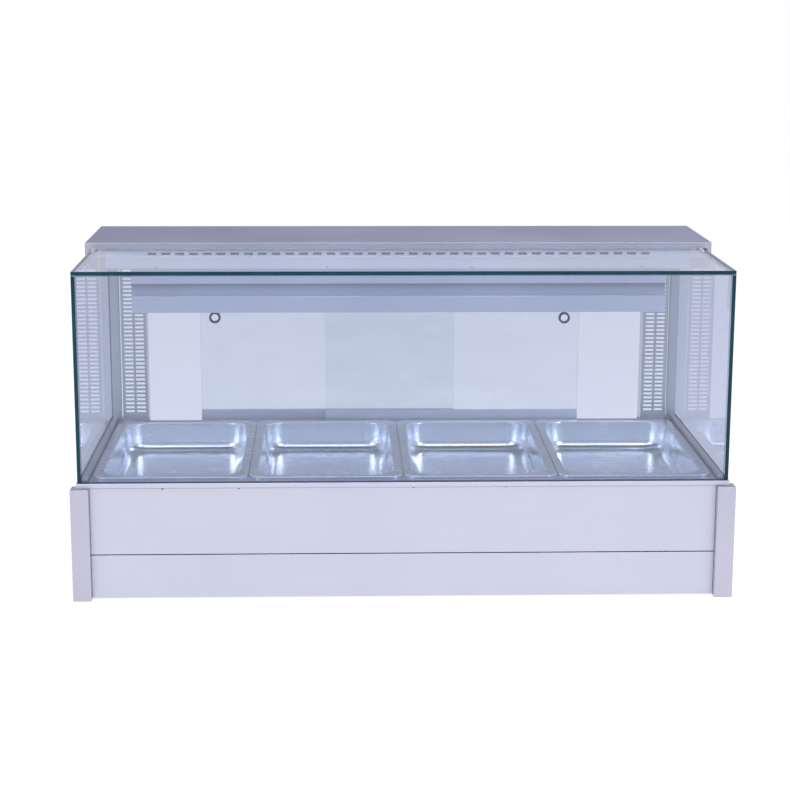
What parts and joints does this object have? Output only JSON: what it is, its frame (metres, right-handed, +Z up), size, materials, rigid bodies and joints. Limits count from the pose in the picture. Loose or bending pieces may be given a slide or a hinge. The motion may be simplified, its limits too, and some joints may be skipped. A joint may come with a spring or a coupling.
{
  "type": "hot food display case",
  "caption": "Countertop heated display case: a square glass box and lamp canopy over lift-out food pans in a steel base, with sliding glass doors behind.",
  "frame": {"origin": "under the middle of the case, on the surface that it stands on", "axes": "+X to the customer's right along the case's length, +Y from the customer to the operator, +Z up"},
  "size_m": [1.383, 0.648, 0.7075],
  "materials": {
    "panel_steel": "satin stainless sheet",
    "post_steel": "brushed stainless sheet, warmer and slightly duller",
    "frame_steel": "brushed stainless sheet and rolled section",
    "fascia_steel": "satin stainless sheet",
    "canopy_steel": "brushed stainless sheet, seen at a low angle",
    "pan_steel": "deep drawn satin stainless",
    "element_metal": "oxidised heating rod sheath",
    "clear_glass": "clear toughened float glass with dark green polished edges",
    "door_glass": "clear toughened glass",
    "ring_plastic": "moulded plastic",
    "black_plastic": "moulded plastic",
    "red_lens": "translucent lens",
    "quartz": "quartz lamp tube",
    "ceramic": "unglazed steatite"
  },
  "bodies": {
    "case": {"corner_post_front_left": "post_steel", "corner_post_front_right": "post_steel", "corner_post_rear_left": "post_steel", "corner_post_rear_right": "post_steel", "front_panel_upper": "panel_steel", "front_panel_lower": "panel_steel", "side_panel_left": "panel_steel", "side_panel_right": "panel_steel", "rear_panel": "panel_steel", "base_plate": "frame_steel", "deck_frame": "frame_steel", "pan_support_bar_1": "frame_steel", "pan_support_bar_2": "frame_steel", "pan_support_bar_3": "frame_steel", "well_tank": "frame_steel", "glass_sill_left": "frame_steel", "glass_sill_right": "frame_steel", "glass_channel_left": "frame_steel", "glass_channel_right": "frame_steel", "door_track_bottom": "frame_steel", "door_track_top": "frame_steel", "heating_element_left": "element_metal", "heating_element_right": "element_metal", "thermostat_body": "black_plastic", "power_switch_body": "black_plastic", "lamp_switch_body": "black_plastic", "cable_gland": "black_plastic", "pilot_lamp": "red_lens", "terminal_block": "ceramic", "lamp_holder_1": "ceramic", "lamp_holder_2": "ceramic", "lamp_holder_3": "ceramic", "lamp_holder_4": "ceramic", "glass_front": "clear_glass", "glass_left": "clear_glass", "glass_right": "clear_glass", "glass_top": "clear_glass", "rear_column_left": "fascia_steel", "rear_column_right": "fascia_steel", "canopy_fascia": "fascia_steel", "vent_duct": "fascia_steel", "lamp_housing": "fascia_steel", "canopy_cover": "canopy_steel", "heat_lamp_tube_1": "quartz", "heat_lamp_tube_2": "quartz", "heat_lamp_tube_3": "quartz"},
    "left_door": {"door_glass_left": "door_glass", "door_rail_left": "frame_steel", "finger_ring_left": "ring_plastic"},
    "right_door": {"door_glass_right": "door_glass", "door_rail_right": "frame_steel", "finger_ring_right": "ring_plastic"},
    "pan_1": {"food_pan_1": "pan_steel"},
    "pan_2": {"food_pan_2": "pan_steel"},
    "pan_3": {"food_pan_3": "pan_steel"},
    "pan_4": {"food_pan_4": "pan_steel"},
    "knob": {"thermostat_knob": "black_plastic"},
    "power_rocker": {"power_switch_rocker": "black_plastic"},
    "lamp_rocker": {"lamp_switch_rocker": "black_plastic"}
  },
  "joints": [
    {"name": "left_door_slide", "type": "slide", "parent": "case", "child": "left_door", "axis": [1, 0, 0], "range_m": [-0.123, 0.445]},
    {"name": "right_door_slide", "type": "slide", "parent": "case", "child": "right_door", "axis": [1, 0, 0], "range_m": [-0.418, 0.15]},
    {"name": "pan_1_lift", "type": "slide", "parent": "case", "child": "pan_1", "axis": [0, 0, 1], "range_m": [0, 0.15]},
    {"name": "pan_2_lift", "type": "slide", "parent": "case", "child": "pan_2", "axis": [0, 0, 1], "range_m": [0, 0.15]},
    {"name": "pan_3_lift", "type": "slide", "parent": "case", "child": "pan_3", "axis": [0, 0, 1], "range_m": [0, 0.15]},
    {"name": "pan_4_lift", "type": "slide", "parent": "case", "child": "pan_4", "axis": [0, 0, 1], "range_m": [0, 0.15]},
    {"name": "thermostat_turn", "type": "hinge", "parent": "case", "child": "knob", "pos_m": [-0.12, 0.306, 0.19], "axis": [0, -1, 0], "range_deg": [0, 270]},
    {"name": "power_rocker_tilt", "type": "hinge", "parent": "case", "child": "power_rocker", "pos_m": [-0.19, 0.3063, 0.19], "axis": [1, 0, 0], "range_deg": [0, 20]},
    {"name": "lamp_rocker_tilt", "type": "hinge", "parent": "case", "child": "lamp_rocker", "pos_m": [-0.24, 0.3063, 0.19], "axis": [1, 0, 0], "range_deg": [0, 20]}
  ]
}
